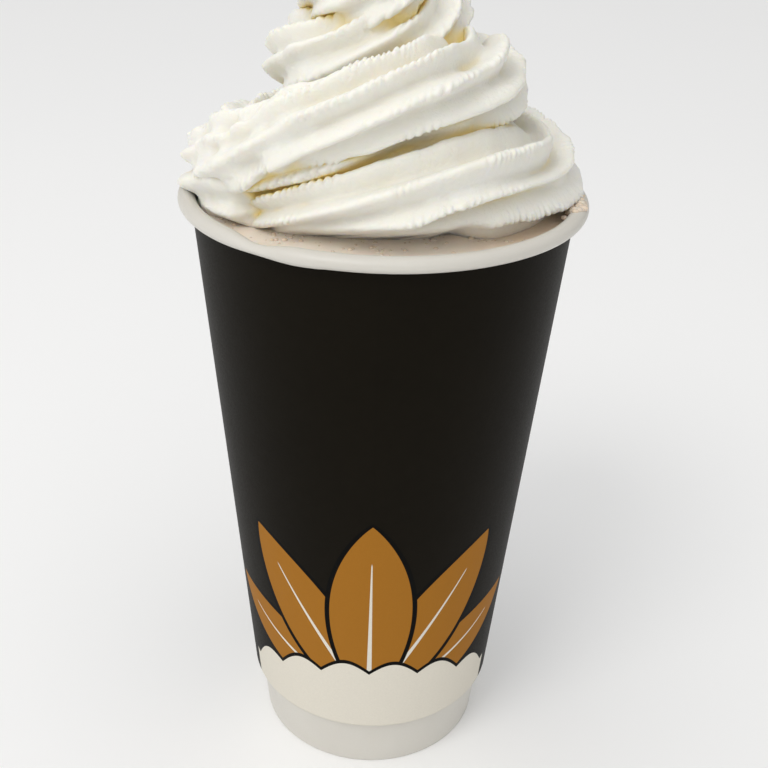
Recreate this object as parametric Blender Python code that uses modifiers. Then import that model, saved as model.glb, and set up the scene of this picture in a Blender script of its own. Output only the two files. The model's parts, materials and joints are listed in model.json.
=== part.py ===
# A tall double-walled paper cup of hot chocolate with a piped swirl of whipped cream.
# The origin is the centre of the ring that the cup stands on, with +Z up and the front towards -Y.
import math

import bmesh
import bpy
from mathutils import Vector, noise

MM = 0.001

# Paper cup
CUP_HEIGHT = 146.0 * MM
RIM_RADIUS = 45.0 * MM
RIM_WIDTH = 3.9 * MM
RIM_DEPTH = 3.3 * MM
FOOT_RADIUS = 28.43 * MM
PAPER = 0.45 * MM
SKIRT_WIDTH = 1.5 * MM
SKIRT_HEIGHT = 6.5 * MM
BOTTOM_THICKNESS = 0.5 * MM

# Dark outer wall
SLEEVE_PAPER = 0.4 * MM
SLEEVE_TOP = 142.2 * MM
SLEEVE_TOP_RADIUS = 42.08 * MM
SLEEVE_LOW = 14.7 * MM
SLEEVE_LOW_RADIUS = 31.5 * MM
HEM_RADIUS = 1.3 * MM

# Drink and cream
DRINK_LEVEL = 143.0 * MM
GAP = 0.3 * MM
FLUTES = 8
FLUTE_START = math.radians(23.0)
GROOVE_DEPTH = 2.7 * MM
FULL_RADIUS = 10.0 * MM
PINCH_ANGLE = math.radians(-89.5)
PEAK_BASE = 182.0 * MM
PEAK_TOP = 210.0 * MM
PEAK_TWIST = math.radians(150.0)
FOOT_HEIGHT = 12.0 * MM
FOOT_SLOPE = 1.9
FOOT_SOFT = 0.5 * MM

# Each rope by its turns, counted from the cup's left side, against a size in millimetres: the reach of its
# centre line from the axis, its radius, its height above the drink, and how far the face between two of its
# flutes is pinched in or swollen. "lead" is the angle in degrees by which the star runs ahead of the coil.
MAIN_ROPE = {
    "start": 0.09,
    "end": 3.38,
    "reach": (
        (0.1, 28.0), (0.4, 30.8), (0.55, 33.6), (0.85, 33.5),
        (1.0, 34.5), (1.1, 33.0), (1.2, 30.5), (1.35, 22.5),
        (1.5, 19.8), (1.75, 20.5), (2.0, 15.5), (2.3, 9.5), (2.6, 8.0), (3.0, 10.5), (3.25, 9.5), (3.38, 7.0),
    ),
    "radius": (
        (0.1, 7.4), (0.25, 10.0), (0.4, 11.6), (0.5, 11.4),
        (0.75, 10.0), (1.0, 9.0), (1.2, 9.0), (1.5, 10.1),
        (2.0, 10.4), (2.5, 9.2), (3.0, 9.0), (3.38, 9.0),
    ),
    "height": (
        (0.1, 2.5), (0.2, 7.0), (0.35, 10.6), (0.5, 7.4), (0.75, 8.5), (0.9, 8.5), (1.0, 8.5), (1.1, 15.0),
        (1.2, 25.0), (1.3, 29.8), (1.5, 25.2), (1.75, 24.5),
        (2.0, 29.5), (2.3, 34.5), (2.5, 39.0), (2.8, 42.5),
        (3.0, 44.5), (3.25, 45.5), (3.38, 48.0),
    ),
    "lead": (
        (0.1, 4.0), (0.3, -2.0), (0.5, -39.0), (0.62, -43.0), (0.85, -5.0), (1.0, 12.0), (1.1, 20.0),
        (1.3, 14.0), (1.5, 18.0), (2.5, -3.0), (3.4, -3.0),
    ),
    "pinch": (
        (0.1, 0.0), (0.32, 0.0), (0.4, -2.0), (0.48, -3.2),
        (0.58, -1.0), (0.65, 0.0), (1.3, 0.0), (1.36, -1.0),
        (1.42, 2.2), (1.48, 1.0), (1.52, -2.2), (1.6, 0.0), (3.4, 0.0),
    ),
}
FIRST_ROPE = {
    "start": -0.42,
    "end": 0.115,
    "reach": ((-0.42, 30.0), (-0.2, 33.0), (0.115, 30.5)),
    "radius": ((-0.42, 8.0), (-0.2, 11.0), (0.0, 13.0), (0.115, 11.5)),
    "height": ((-0.42, 2.0), (-0.2, 4.0), (0.0, 4.0), (0.115, 4.0)),
    "lead": ((-0.42, 0.0), (0.115, 20.0)),
    "pinch": ((-0.42, 0.0), (0.115, 0.0)),
}
FILL_ROPE = {
    "start": 0.06,
    "end": 0.52,
    "reach": ((0.06, 29.0), (0.14, 29.0), (0.2, 27.5), (0.29, 22.0), (0.35, 24.0), (0.52, 23.0)),
    "radius": ((0.06, 7.5), (0.12, 8.8), (0.2, 8.4), (0.27, 6.0), (0.35, 7.2), (0.52, 5.0)),
    "height": ((0.06, 10.0), (0.18, 14.5), (0.3, 18.0), (0.52, 16.0)),
    "lead": ((0.06, 0.0), (0.52, 0.0)),
    "pinch": ((0.06, 0.0), (0.52, 0.0)),
}
# Heading in degrees against the radius in millimetres where the cream meets the drink
FOOT_LIMIT = (
    (170.0, 43.8), (194.0, 43.6), (207.0, 36.9), (220.0, 33.9), (233.0, 30.7), (244.0, 28.1), (261.0, 26.6),
    (278.0, 26.0), (290.0, 26.0), (300.0, 25.5), (308.0, 30.0), (316.0, 34.5), (329.0, 40.0), (340.0, 43.0),
    (375.0, 44.0),
)
# Share of the peak's height against its radius
PEAK_RADIUS = ((0.0, 9.0), (0.3, 10.0), (0.5, 8.6), (0.7, 5.8), (0.85, 3.4), (1.0, 0.9))
# Height above the drink against the radius of the filling inside the coil
CORE_RADIUS = ((0.0, 24.0), (7.0, 25.0), (14.0, 22.0), (22.0, 16.0), (30.0, 12.0), (40.0, 10.0), (50.0, 7.0))

ROUND_STEPS = 60
RIM_STEPS = 12
HEM_STEPS = 4
STATIONS_PER_TURN = 27
POINTS_PER_FLUTE = 4
PEAK_STATIONS = 12
LENGTH_TURNS = 0.7
ROUND_END = 4
JOINT_START = 0.95
JOINT_END = 0.94


def clear_scene():
    for thing in list(bpy.data.objects):
        bpy.data.objects.remove(thing, do_unlink=True)


def make_material(name, colour, roughness, metallic=0.0):
    material = bpy.data.materials.new(name)
    material.use_nodes = True
    shader = material.node_tree.nodes["Principled BSDF"]
    shader.inputs["Base Color"].default_value = (*colour, 1.0)
    shader.inputs["Roughness"].default_value = roughness
    shader.inputs["Metallic"].default_value = metallic
    return material


def smooth_value(knots, place):
    """Reads a smooth curve through a few (place, value) knots."""
    if place <= knots[0][0]:
        return knots[0][1]
    for index in range(len(knots) - 1):
        start, end = knots[index], knots[index + 1]
        if place <= end[0]:
            before = knots[max(index - 1, 0)]
            after = knots[min(index + 2, len(knots) - 1)]
            width = end[0] - start[0]
            slope_in = (end[1] - before[1]) / (end[0] - before[0]) * width
            slope_out = (after[1] - start[1]) / (after[0] - start[0]) * width
            t = (place - start[0]) / width
            return (
                (2 * t**3 - 3 * t**2 + 1) * start[1]
                + (t**3 - 2 * t**2 + t) * slope_in
                + (3 * t**2 - 2 * t**3) * end[1]
                + (t**3 - t**2) * slope_out
            )
    return knots[-1][1]


def wall_inner_radius(height):
    """Radius of the cup wall's inner face, which widens evenly from foot to rim."""
    low = FOOT_RADIUS - PAPER
    high = RIM_RADIUS - RIM_WIDTH
    return low + (high - low) * height / (CUP_HEIGHT - RIM_DEPTH / 2)


def turned_solid(name, profile, material, closed):
    """Turns a profile of (radius, height) points, listed down the outer side, about the upright axis."""
    mesh = bpy.data.meshes.new(name)
    count = len(profile)
    edges = [(index, index + 1) for index in range(count - 1)]
    if closed:
        edges.append((count - 1, 0))
    mesh.from_pydata([(radius, 0.0, height) for radius, height in profile], edges, [])
    mesh.materials.append(material)
    turned = bpy.data.objects.new(name, mesh)
    screw = turned.modifiers.new("turn", "SCREW")
    screw.axis = "Z"
    screw.angle = math.tau
    screw.steps = ROUND_STEPS
    screw.render_steps = ROUND_STEPS
    screw.use_merge_vertices = True
    screw.merge_threshold = 0.00001
    screw.use_smooth_shade = True
    return turned


def cup_wall_profile():
    middle_radius = RIM_RADIUS - RIM_WIDTH / 2
    middle_height = CUP_HEIGHT - RIM_DEPTH / 2
    reach = PAPER - RIM_WIDTH / 2
    last_angle = -math.acos(reach / (RIM_WIDTH / 2))
    profile = []
    for step in range(RIM_STEPS + 1):
        angle = math.pi + (last_angle - math.pi) * step / RIM_STEPS
        profile.append(
            (middle_radius + RIM_WIDTH / 2 * math.cos(angle), middle_height + RIM_DEPTH / 2 * math.sin(angle))
        )
    skirt_top = wall_inner_radius(SKIRT_HEIGHT)
    profile += [
        (FOOT_RADIUS, 0.0),
        (FOOT_RADIUS - SKIRT_WIDTH, 0.0),
        (skirt_top + PAPER - SKIRT_WIDTH, SKIRT_HEIGHT),
        (skirt_top, SKIRT_HEIGHT),
    ]
    return profile


def make_cup_wall():
    material = make_material("white paper", (0.72, 0.68, 0.62), 0.5)
    return turned_solid("cup_wall", cup_wall_profile(), material, closed=True)


def make_cup_bottom():
    material = make_material("white board", (0.70, 0.66, 0.60), 0.6)
    low = SKIRT_HEIGHT + GAP
    radius = wall_inner_radius(low) - GAP
    profile = [(0.0, low + BOTTOM_THICKNESS), (radius, low + BOTTOM_THICKNESS), (radius, low), (0.0, low)]
    return turned_solid("cup_bottom", profile, material, closed=False)


def hem_arc(centre_radius, centre_height, radius, start, end):
    """Quarter round at the sleeve's lower edge."""
    points = []
    for step in range(HEM_STEPS + 1):
        angle = start + (end - start) * step / HEM_STEPS
        points.append((centre_radius + radius * math.cos(angle), centre_height + radius * math.sin(angle)))
    return points


def make_sleeve():
    material = make_material("dark paper", (0.010, 0.008, 0.005), 0.55)
    hem_radius = SLEEVE_LOW_RADIUS - HEM_RADIUS
    hem_height = SLEEVE_LOW + HEM_RADIUS
    profile = [(SLEEVE_TOP_RADIUS, SLEEVE_TOP)]
    profile += hem_arc(hem_radius, hem_height, HEM_RADIUS, 0.0, -math.pi / 2)
    profile += hem_arc(hem_radius, hem_height, HEM_RADIUS - SLEEVE_PAPER, -math.pi / 2, 0.0)
    profile.append((SLEEVE_TOP_RADIUS - SLEEVE_PAPER, SLEEVE_TOP))
    return turned_solid("sleeve", profile, material, closed=True)


def make_drink():
    material = make_material("milky chocolate", (0.55, 0.40, 0.27), 0.25)
    low = SKIRT_HEIGHT + BOTTOM_THICKNESS + 2 * GAP
    profile = [
        (0.0, DRINK_LEVEL),
        (wall_inner_radius(DRINK_LEVEL) - GAP, DRINK_LEVEL),
        (wall_inner_radius(low) - GAP, low),
        (0.0, low),
    ]
    return turned_solid("drink", profile, material, closed=False)


def flute_profile(phase):
    """Share of the rope's radius outside its grooves: 1 on a crest, 0 in a groove."""
    uneven = phase + 0.05 * math.sin(2 * phase + 1.0) + 0.03 * math.sin(3 * phase)
    return (0.5 + 0.5 * math.cos(FLUTES * (uneven - FLUTE_START))) ** 1.3


def soft_bumps(point):
    """Slow unevenness of piped cream."""
    return 0.5 * MM * noise.noise(point / (9.0 * MM))


def rope_section(rope, turn, end_share, joint_share):
    """Star of flutes across the rope. The nozzle keeps its heading, so the star turns once in each turn."""
    heading = math.pi + math.tau * turn
    outward = Vector((math.cos(heading), math.sin(heading), 0.0))
    reach = smooth_value(rope["reach"], turn) * MM
    centre = outward * reach + Vector((0.0, 0.0, DRINK_LEVEL + smooth_value(rope["height"], turn) * MM))
    radius = smooth_value(rope["radius"], turn) * MM * end_share * joint_share
    groove = GROOVE_DEPTH * radius / FULL_RADIUS
    pinch = smooth_value(rope["pinch"], turn) * MM * end_share
    twist = math.tau * turn + math.radians(smooth_value(rope["lead"], turn))
    points = []
    count = FLUTES * POINTS_PER_FLUTE
    for index in range(count):
        phase = FLUTE_START + math.tau * index / count
        angle = phase + twist
        share = min(max((math.cos(phase - PINCH_ANGLE) - 0.72) / 0.28, 0.0), 1.0)
        length = radius - groove * (1 - flute_profile(phase)) + pinch * share * share * (3 - 2 * share)
        across = max(length * math.cos(angle), -0.8 * reach * joint_share)
        point = centre + outward * across + Vector((0.0, 0.0, length * math.sin(angle)))
        away = (point - centre).normalized()
        points.append(point + away * soft_bumps(point) * end_share)
    return points, centre


def loft(name, sections, centres):
    """Closed body through rings of equal point count, with a fan of faces over each end."""
    body = bmesh.new()
    rings = [[body.verts.new(point) for point in ring] for ring in sections]
    count = len(rings[0])
    for lower, upper in zip(rings, rings[1:]):
        for index in range(count):
            after = (index + 1) % count
            body.faces.new((lower[index], lower[after], upper[after], upper[index]))
    for ring, centre in ((rings[0], centres[0]), (rings[-1], centres[-1])):
        middle = body.verts.new(centre)
        for index in range(count):
            body.faces.new((ring[index], ring[(index + 1) % count], middle))
    bmesh.ops.recalc_face_normals(body, faces=body.faces)
    bmesh.ops.triangulate(body, faces=body.faces)
    mesh = bpy.data.meshes.new(name)
    body.to_mesh(mesh)
    body.free()
    return bpy.data.objects.new(name, mesh)


def make_rope_pieces(name, rope):
    """The rope in lengths of less than one turn, so that no length crosses itself.

    Each length ends a little thinner inside the next one, and the next one starts a little thinner inside it.
    """
    span = rope["end"] - rope["start"]
    stations = round(span * STATIONS_PER_TURN)
    length = round(LENGTH_TURNS * STATIONS_PER_TURN)
    pieces = []
    for start in range(0, stations - 1, length):
        end = min(start + length + 1, stations)
        rings, middles = [], []
        for station in range(start, end + 1):
            share = min(station / ROUND_END, (stations - station) / ROUND_END, 1.0)
            rounded = max(math.sqrt(1 - (1 - share) ** 2), 0.2)
            joint = 1.0
            if station == start and start > 0:
                joint = JOINT_START
            if station == end and end < stations:
                joint = JOINT_END
            turn = rope["start"] + span * station / stations
            ring, middle = rope_section(rope, turn, rounded, joint)
            rings.append(ring)
            middles.append(middle)
        pieces.append(loft(f"{name}_{len(pieces)}", rings, middles))
    return pieces


def make_peak():
    """Last pull of the nozzle: a fluted peak that narrows and leans to a point."""
    sections, centres = [], []
    count = FLUTES * POINTS_PER_FLUTE
    for station in range(PEAK_STATIONS + 1):
        share = station / PEAK_STATIONS
        radius = smooth_value(PEAK_RADIUS, share) * MM
        lean = 2.2 * MM * share**3
        centre = Vector((lean - 1.8 * MM, -lean, PEAK_BASE + (PEAK_TOP - PEAK_BASE) * share))
        ring = []
        for index in range(count):
            phase = math.tau * index / count
            flute = flute_profile(phase + FLUTE_START)
            length = radius * (1 - 0.28 * (1 - flute))
            angle = phase + PEAK_TWIST * share
            ring.append(centre + Vector((length * math.cos(angle), length * math.sin(angle), 0.0)))
        sections.append(ring)
        centres.append(centre)
    return loft("peak", sections, centres)


def make_keep_out(material):
    """Everything below the cream's flat foot, and the rim with its clearance."""
    foot = DRINK_LEVEL + GAP
    collar = wall_inner_radius(DRINK_LEVEL) - 2 * GAP
    over_rim = CUP_HEIGHT + GAP
    outside = RIM_RADIUS + 15.0 * MM
    under = foot - 15.0 * MM
    profile = [
        (0.0, foot),
        (collar, foot),
        (collar, over_rim - GAP),
        (collar + 2 * GAP, over_rim),
        (outside, over_rim),
        (outside, under),
        (0.0, under),
    ]
    return turned_solid("keep_out", profile, material, closed=False)


def keep_outer_shell(mesh):
    """Fills the sealed hollows that joining leaves, by dropping every shell but the largest."""
    body = bmesh.new()
    body.from_mesh(mesh)
    unseen = set(body.verts)
    shells = []
    while unseen:
        shell = [unseen.pop()]
        for vert in shell:
            for edge in vert.link_edges:
                other = edge.other_vert(vert)
                if other in unseen:
                    unseen.remove(other)
                    shell.append(other)
        shells.append(shell)
    shells.sort(key=len)
    for shell in shells[:-1]:
        bmesh.ops.delete(body, geom=shell, context="VERTS")
    body.to_mesh(mesh)
    body.free()


def pull_in_foot(mesh):
    """Draws the cream's foot back from the wall in front, where the drink shows."""
    for vert in mesh.vertices:
        above = vert.co.z - DRINK_LEVEL
        radius = math.hypot(vert.co.x, vert.co.y)
        heading = math.degrees(math.atan2(vert.co.y, vert.co.x)) % 360
        if heading < FOOT_LIMIT[-1][0] - 360:
            heading += 360
        if above > FOOT_HEIGHT or heading < FOOT_LIMIT[0][0] or radius < MM:
            continue
        limit = smooth_value(FOOT_LIMIT, heading) * MM + max(above, 0.0) * FOOT_SLOPE
        over = FOOT_SOFT * math.log1p(math.exp((radius - limit) / FOOT_SOFT))
        fade = min((FOOT_HEIGHT - above) / (0.45 * FOOT_HEIGHT), 1.0)
        scale = (radius - over * fade) / radius
        vert.co.x *= scale
        vert.co.y *= scale


def make_cream(cutters):
    material = make_material("whipped cream", (0.86, 0.82, 0.72), 0.5)
    core_profile = [(0.0, DRINK_LEVEL + CORE_RADIUS[-1][0] * MM)]
    core_profile += [(radius * MM, DRINK_LEVEL + height * MM) for height, radius in reversed(CORE_RADIUS)]
    core_profile.append((0.0, DRINK_LEVEL))
    core = turned_solid("core", core_profile, material, closed=False)
    bpy.context.scene.collection.objects.link(core)
    lengths = bpy.data.collections.new("rope lengths")
    bpy.context.scene.collection.children.link(lengths)
    pieces = [make_peak()]
    for name, rope in (("main_rope", MAIN_ROPE), ("first_rope", FIRST_ROPE), ("fill_rope", FILL_ROPE)):
        pieces += make_rope_pieces(name, rope)
    for piece in pieces:
        lengths.objects.link(piece)
    keep_out = make_keep_out(material)
    keep_out.display_type = "WIRE"
    keep_out.hide_render = True
    cutters.objects.link(keep_out)
    join = core.modifiers.new("join", "BOOLEAN")
    join.operation = "UNION"
    join.solver = "MANIFOLD"
    join.operand_type = "COLLECTION"
    join.collection = lengths
    cut = core.modifiers.new("cut", "BOOLEAN")
    cut.operation = "DIFFERENCE"
    cut.solver = "MANIFOLD"
    cut.object = keep_out
    mesh = bpy.data.meshes.new_from_object(core.evaluated_get(bpy.context.evaluated_depsgraph_get()))
    for piece in list(lengths.objects) + [core]:
        bpy.data.objects.remove(piece, do_unlink=True)
    bpy.data.collections.remove(lengths)
    keep_outer_shell(mesh)
    pull_in_foot(mesh)
    mesh.name = "cream"
    mesh.materials.clear()
    mesh.materials.append(material)
    cream = bpy.data.objects.new("cream", mesh)
    return cream


def main():
    clear_scene()
    scene = bpy.context.scene
    model = bpy.data.collections.new("hot chocolate")
    cutters = bpy.data.collections.new("cutters")
    scene.collection.children.link(model)
    scene.collection.children.link(cutters)
    for piece in (make_cup_wall(), make_cup_bottom(), make_sleeve(), make_drink(), make_cream(cutters)):
        model.objects.link(piece)


main()
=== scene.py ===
# Looks of a tall double-walled paper cup of hot chocolate under a piped swirl of whipped cream.
import json
import math

import bmesh
import bpy
import numpy as np
from mathutils import Matrix, Vector, noise
from mathutils.bvhtree import BVHTree

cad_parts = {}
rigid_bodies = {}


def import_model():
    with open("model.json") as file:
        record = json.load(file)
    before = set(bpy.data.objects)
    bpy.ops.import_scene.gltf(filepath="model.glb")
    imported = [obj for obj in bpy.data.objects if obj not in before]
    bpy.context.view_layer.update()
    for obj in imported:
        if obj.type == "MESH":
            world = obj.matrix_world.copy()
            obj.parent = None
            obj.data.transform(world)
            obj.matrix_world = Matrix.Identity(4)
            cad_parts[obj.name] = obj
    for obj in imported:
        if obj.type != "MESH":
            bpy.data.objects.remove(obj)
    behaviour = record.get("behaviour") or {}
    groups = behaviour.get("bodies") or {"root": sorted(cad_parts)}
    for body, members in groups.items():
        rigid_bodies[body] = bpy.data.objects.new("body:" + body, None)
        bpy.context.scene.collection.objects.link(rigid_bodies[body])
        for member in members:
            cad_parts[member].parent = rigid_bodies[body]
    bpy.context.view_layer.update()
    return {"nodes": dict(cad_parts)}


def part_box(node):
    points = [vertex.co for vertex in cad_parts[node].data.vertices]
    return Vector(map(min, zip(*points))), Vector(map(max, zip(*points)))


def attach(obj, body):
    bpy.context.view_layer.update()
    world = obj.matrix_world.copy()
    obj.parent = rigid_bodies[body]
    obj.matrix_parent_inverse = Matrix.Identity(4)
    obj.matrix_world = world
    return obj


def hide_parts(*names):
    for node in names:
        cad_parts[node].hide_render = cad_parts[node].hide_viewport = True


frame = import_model()
mm = 0.001
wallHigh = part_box("cup_wall")[1]
sleeveLow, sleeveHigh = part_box("sleeve")
drinkLow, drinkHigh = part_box("drink")
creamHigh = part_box("cream")[1]


# Small helpers for node trees

def addNode(tree, kind, sockets=None, **settings):
    made = tree.nodes.new(kind)
    for name, value in settings.items():
        setattr(made, name, value)
    for key, value in (sockets or {}).items():
        if isinstance(value, bpy.types.NodeSocket):
            tree.links.new(value, made.inputs[key])
        else:
            made.inputs[key].default_value = value
    return made


def maths(tree, operation, *values):
    return addNode(tree, "ShaderNodeMath", dict(enumerate(values)), operation=operation).outputs[0]


def plus(tree, first, second):
    return maths(tree, "ADD", first, second)


def minus(tree, first, second):
    return maths(tree, "SUBTRACT", first, second)


def times(tree, first, second):
    return maths(tree, "MULTIPLY", first, second)


def vectorMaths(tree, operation, *values):
    return addNode(tree, "ShaderNodeVectorMath", dict(enumerate(values)), operation=operation).outputs[0]


def scaleVector(tree, vector, scale):
    sockets = {"Vector": vector, "Scale": scale}
    return addNode(tree, "ShaderNodeVectorMath", sockets, operation="SCALE").outputs[0]


def mapRange(tree, value, fromLow, fromHigh, toLow=0.0, toHigh=1.0):
    sockets = {"Value": value, "From Min": fromLow, "From Max": fromHigh, "To Min": toLow, "To Max": toHigh}
    return addNode(tree, "ShaderNodeMapRange", sockets, interpolation_type="SMOOTHSTEP").outputs[0]


def mixColour(tree, share, first, second):
    return addNode(tree, "ShaderNodeMix", {0: share, 6: first, 7: second}, data_type="RGBA").outputs[2]


def noiseAt(tree, place, size, detail=2.0, roughness=0.5, warp=0.0):
    sockets = {"Vector": place, "Scale": 1.0 / size, "Detail": detail, "Roughness": roughness,
               "Distortion": warp}
    return addNode(tree, "ShaderNodeTexNoise", sockets).outputs[0]


def bumpFrom(tree, height, distance, strength=1.0, before=None):
    sockets = {"Height": height, "Distance": distance, "Strength": strength}
    if before:
        sockets["Normal"] = before
    return addNode(tree, "ShaderNodeBump", sockets).outputs[0]


def newMaterial(name):
    material = bpy.data.materials.new(name)
    material.use_nodes = True
    tree = material.node_tree
    tree.nodes.clear()
    shader = addNode(tree, "ShaderNodeBsdfPrincipled")
    addNode(tree, "ShaderNodeOutputMaterial", {"Surface": shader.outputs[0]})
    place = addNode(tree, "ShaderNodeTexCoord").outputs["Object"]
    return material, tree, shader, place


def setShader(tree, shader, **values):
    for name, value in values.items():
        key = {"colour": "Base Color", "roughness": "Roughness", "bump": "Normal",
               "specular": "Specular IOR Level", "scatter": "Subsurface Weight",
               "scatterRadius": "Subsurface Radius", "scatterScale": "Subsurface Scale"}[name]
        if isinstance(value, bpy.types.NodeSocket):
            tree.links.new(value, shader.inputs[key])
        else:
            shader.inputs[key].default_value = value


# Small helpers for meshes

def addObject(name, data):
    made = bpy.data.objects.new(name, data)
    bpy.context.scene.collection.objects.link(made)
    return made


def smoothValue(knots, place):
    if place <= knots[0][0]:
        return knots[0][1]
    for index in range(len(knots) - 1):
        start, end = knots[index], knots[index + 1]
        if place <= end[0]:
            before = knots[max(index - 1, 0)]
            after = knots[min(index + 2, len(knots) - 1)]
            width = end[0] - start[0]
            slopeIn = (end[1] - before[1]) / (end[0] - before[0]) * width
            slopeOut = (after[1] - start[1]) / (after[0] - start[0]) * width
            t = (place - start[0]) / width
            return (
                (2 * t**3 - 3 * t**2 + 1) * start[1]
                + (t**3 - 2 * t**2 + t) * slopeIn
                + (3 * t**2 - 2 * t**3) * end[1]
                + (t**3 - t**2) * slopeOut
            )
    return knots[-1][1]


def smoothStep(value, low, high):
    share = min(max((value - low) / (high - low), 0.0), 1.0)
    return share * share * (3 - 2 * share)


def hump(value, middle, spread):
    return math.exp(-(((value - middle) / spread) ** 2))


def facesOut(body):
    if body.calc_volume(signed=True) < 0:
        bmesh.ops.reverse_faces(body, faces=body.faces)


def arcPoints(centre, radii, start, end, steps):
    points = []
    for step in range(steps + 1):
        angle = math.radians(start + (end - start) * step / steps)
        points.append((centre[0] + radii[0] * math.cos(angle), centre[1] + radii[1] * math.sin(angle)))
    return points


def linePoints(start, end, steps):
    return [
        (start[0] + (end[0] - start[0]) * step / steps, start[1] + (end[1] - start[1]) * step / steps)
        for step in range(1, steps)
    ]


def turnedMesh(name, profile, steps, closed, warp=None):
    # profile is a list of (radius, height); an open one starts and ends on the axis
    body = bmesh.new()
    rings = []
    for radius, height in profile:
        if radius < 1e-7:
            rings.append([body.verts.new((0, 0, height))])
            continue
        ring = []
        for step in range(steps):
            heading = math.tau * step / steps
            r, z = warp(radius, height, heading) if warp else (radius, height)
            ring.append(body.verts.new((r * math.cos(heading), r * math.sin(heading), z)))
        rings.append(ring)
    pairs = list(zip(rings, rings[1:]))
    if closed:
        pairs.append((rings[-1], rings[0]))
    for first, second in pairs:
        for step in range(steps):
            after = (step + 1) % steps
            if len(first) == 1:
                body.faces.new((first[0], second[step], second[after]))
            elif len(second) == 1:
                body.faces.new((first[step], second[0], first[after]))
            else:
                body.faces.new((first[step], second[step], second[after], first[after]))
    facesOut(body)
    mesh = bpy.data.meshes.new(name)
    body.to_mesh(mesh)
    body.free()
    mesh.shade_smooth()
    return addObject(name, mesh)


def finishPiece(piece, nodeName, material=None):
    if material:
        piece.data.materials.clear()
        piece.data.materials.append(material)
    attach(piece, "root")
    if nodeName:
        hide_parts(nodeName)
    print(f"{piece.name}: {sum(len(face.vertices) - 2 for face in piece.data.polygons)} triangles")


# The paper cup: a turned wall with a rolled rim, pinched a little where it was held

cup = {
    "rimWidth": 3.9 * mm,
    "rimDepth": 3.3 * mm,
    "paper": 0.45 * mm,
    "skirtWidth": 1.5 * mm,
    "skirtHeight": 6.5 * mm,
    "footRadius": 28.43 * mm,
    "footRound": 0.5 * mm,
    "steps": 400,
    "dentHeading": 236.5,
    "dentSpread": 7.0,
    "dentSink": 1.1 * mm,
    "dentSqueeze": 0.35,
    "flareHeading": 248.0,
    "flareSpread": 6.5,
    "flareRise": 0.25 * mm,
    "seamHeading": 255.5,
    "seamStep": 0.16 * mm,
    "seamWidth": 10.0,
    "seamFade": 14.0,
}
rimRadius = wallHigh.x
cupHeight = wallHigh.z


def wallInner(height):
    low = cup["footRadius"] - cup["paper"]
    high = rimRadius - cup["rimWidth"]
    return low + (high - low) * height / (cupHeight - cup["rimDepth"] / 2)


def warpCup(radius, height, heading):
    degrees = math.degrees(heading)
    middle = cupHeight - cup["rimDepth"] / 2
    onRim = smoothStep(height, middle - 6 * mm, middle - 1.0 * mm)
    upper = smoothStep(height, middle - cup["rimDepth"] / 2, middle + cup["rimDepth"] / 2)
    dent = hump(degrees, cup["dentHeading"], cup["dentSpread"])
    flare = hump(degrees, cup["flareHeading"], cup["flareSpread"])
    rise = -cup["dentSink"] * dent * upper + cup["flareRise"] * flare * (upper - 1) * onRim
    squeeze = 1.0 - cup["dentSqueeze"] * dent * onRim
    rimMiddle = rimRadius - cup["rimWidth"] / 2
    r = rimMiddle + (radius - rimMiddle) * squeeze
    r = radius + (r - radius) * onRim
    lap = smoothStep(degrees, cup["seamHeading"] - cup["seamWidth"], cup["seamHeading"] - 0.6)
    lap *= 1 - smoothStep(degrees, cup["seamHeading"] - 0.25, cup["seamHeading"] + 0.25)
    r -= cup["seamStep"] * (1 - lap) * onRim * hump(degrees, cup["seamHeading"], cup["seamFade"])
    return r, height + rise


def makeCupWall():
    print("paper cup")
    halfWidth, halfDepth = cup["rimWidth"] / 2, cup["rimDepth"] / 2
    rimCentre = (rimRadius - halfWidth, cupHeight - halfDepth)
    under = -math.degrees(math.acos((cup["paper"] - halfWidth) / halfWidth))
    foot, skirt, soft = cup["footRadius"], cup["skirtWidth"], cup["footRound"]
    profile = arcPoints(rimCentre, (halfWidth, halfDepth), 180, under, 40)
    profile += linePoints(profile[-1], (foot, soft), 30)
    profile += arcPoints((foot - soft, soft), (soft, soft), 0, -90, 6)
    profile += arcPoints((foot - skirt + soft, soft), (soft, soft), -90, -180, 6)
    skirtTop = wallInner(cup["skirtHeight"])
    profile.append((skirtTop + cup["paper"] - skirt, cup["skirtHeight"]))
    profile.append((skirtTop, cup["skirtHeight"]))
    profile += linePoints(profile[-1], profile[0], 30)
    wall = turnedMesh("cupWall", profile, cup["steps"], True, warpCup)
    finishPiece(wall, "cup_wall", whitePaper())


def whitePaper():
    material, tree, shader, place = newMaterial("whitePaper")
    fibres = noiseAt(tree, place, 0.5 * mm, 4.0, 0.6)
    cloudy = noiseAt(tree, place, 14 * mm, 2.0)
    colour = mixColour(tree, cloudy, (0.61, 0.585, 0.535, 1), (0.66, 0.64, 0.585, 1))
    colour = mixColour(tree, times(tree, fibres, 0.25), colour, (0.56, 0.53, 0.47, 1))
    rough = mapRange(tree, fibres, 0.3, 0.7, 0.34, 0.46)
    bump = bumpFrom(tree, fibres, 0.03 * mm, 0.5)
    bump = bumpFrom(tree, cloudy, 0.3 * mm, 0.25, bump)
    setShader(tree, shader, colour=colour, roughness=rough, bump=bump, scatter=0.15,
              scatterRadius=(1.0, 0.9, 0.8), scatterScale=0.8 * mm)
    return material


def whiteBoard():
    material, tree, shader, place = newMaterial("whiteBoard")
    fibres = noiseAt(tree, place, 0.7 * mm, 4.0, 0.65)
    colour = mixColour(tree, fibres, (0.70, 0.66, 0.59, 1), (0.82, 0.79, 0.73, 1))
    setShader(tree, shader, colour=colour, roughness=0.62, bump=bumpFrom(tree, fibres, 0.05 * mm, 0.5))
    return material


# The dark outer wall, with a rolled-in hem and a generic leaf print low on its front

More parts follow.
